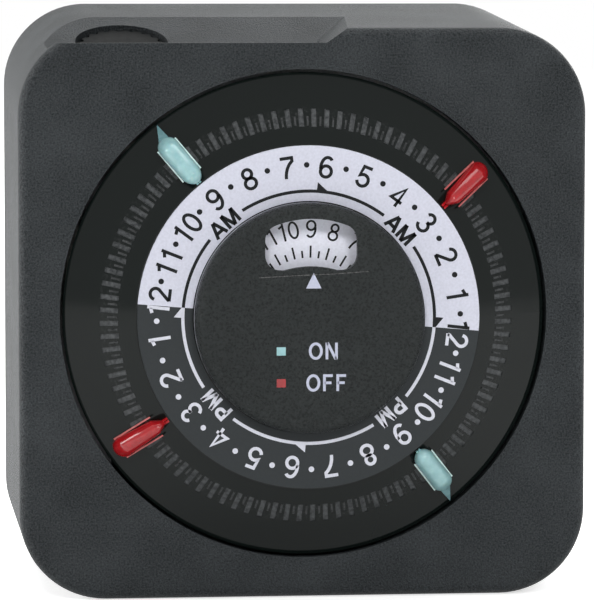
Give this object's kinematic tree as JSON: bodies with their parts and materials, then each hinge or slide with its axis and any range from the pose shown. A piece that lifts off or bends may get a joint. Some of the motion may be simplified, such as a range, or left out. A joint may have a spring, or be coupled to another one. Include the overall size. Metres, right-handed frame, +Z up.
{
  "type": "plug-in timer switch",
  "caption": "Cube-shaped plug-in timer switch: a turning 24-hour dial with slotted rim and pull-out trippers, an override knob, a wall plug behind and a receptacle below.",
  "frame": {"origin": "middle of the flat back face, on the dial axis", "axes": "+X to the right seen from the front, +Y out of the back along the plug's blades, +Z up"},
  "size_m": [0.076, 0.0772, 0.0789],
  "materials": {
    "housing": "fine-textured matte charcoal",
    "cap": "textured",
    "dial_black": "glossy",
    "label": "printed, upper half pale and lower half dark",
    "scale_white": "printed",
    "green": "glossy",
    "red": "glossy",
    "brass": "satin",
    "zinc_steel": "zinc plated",
    "plate_steel": "satin",
    "contact_metal": "silver",
    "winding": "taped winding",
    "inner_plastic": "natural moulded",
    "receptacle_plastic": "matte"
  },
  "bodies": {
    "case": {"front_housing": "housing", "rear_housing": "housing", "housing_screws": "zinc_steel", "center_cap": "cap", "center_post": "inner_plastic", "gear_plate": "plate_steel", "idler_arbor": "plate_steel", "motor_can": "plate_steel", "motor_coil": "winding", "line_blade": "brass", "neutral_blade": "brass", "ground_pin": "brass", "receptacle_insert": "receptacle_plastic", "line_contact": "brass", "neutral_contact": "brass", "ground_contact": "brass", "neutral_strap": "brass", "ground_strap": "brass", "switch_base": "inner_plastic", "moving_contact_arm": "brass", "fixed_contact_arm": "brass", "detent_spring": "plate_steel", "contact_rivets": "contact_metal"},
    "dial": {"dial_ring": "dial_black", "dial_label": "label", "time_scale_disc": "scale_white", "dial_gear": "inner_plastic"},
    "idler": {"idler_gear": "inner_plastic"},
    "pinion": {"motor_pinion": "brass", "motor_shaft": "plate_steel"},
    "override": {"override_knob": "dial_black", "override_shaft": "inner_plastic", "star_wheel": "inner_plastic", "switch_cam": "inner_plastic"},
    "tripper_green_1": {"tripper_green_1": "green"},
    "tripper_green_2": {"tripper_green_2": "green"},
    "tripper_red_1": {"tripper_red_1": "red"},
    "tripper_red_2": {"tripper_red_2": "red"}
  },
  "joints": [
    {"name": "dial_spin", "type": "hinge", "parent": "case", "child": "dial", "pos_m": [0, -0.05, 0], "axis": [0, -1, 0], "continuous": true},
    {"name": "idler_spin", "type": "hinge", "parent": "case", "child": "idler", "pos_m": [0.01691, -0.03, -0.00616], "axis": [0, -1, 0], "continuous": true},
    {"name": "pinion_spin", "type": "hinge", "parent": "case", "child": "pinion", "pos_m": [0.0081, -0.02, 0.00598], "axis": [0, -1, 0], "continuous": true},
    {"name": "override_turn", "type": "hinge", "parent": "case", "child": "override", "pos_m": [-0.0235, -0.036, 0.03608], "axis": [0, -0.342, 0.9397], "continuous": true},
    {"name": "tripper_green_1_pull", "type": "slide", "parent": "dial", "child": "tripper_green_1", "axis": [0, -1, 0], "range_m": [0, 0.01]},
    {"name": "tripper_green_2_pull", "type": "slide", "parent": "dial", "child": "tripper_green_2", "axis": [0, -1, 0], "range_m": [0, 0.01]},
    {"name": "tripper_red_1_pull", "type": "slide", "parent": "dial", "child": "tripper_red_1", "axis": [0, -1, 0], "range_m": [0, 0.01]},
    {"name": "tripper_red_2_pull", "type": "slide", "parent": "dial", "child": "tripper_red_2", "axis": [0, -1, 0], "range_m": [0, 0.01]}
  ],
  "couplings": [
    {"joint": "idler_spin", "follows": "dial_spin", "ratio": -5},
    {"joint": "pinion_spin", "follows": "dial_spin", "ratio": 20}
  ]
}
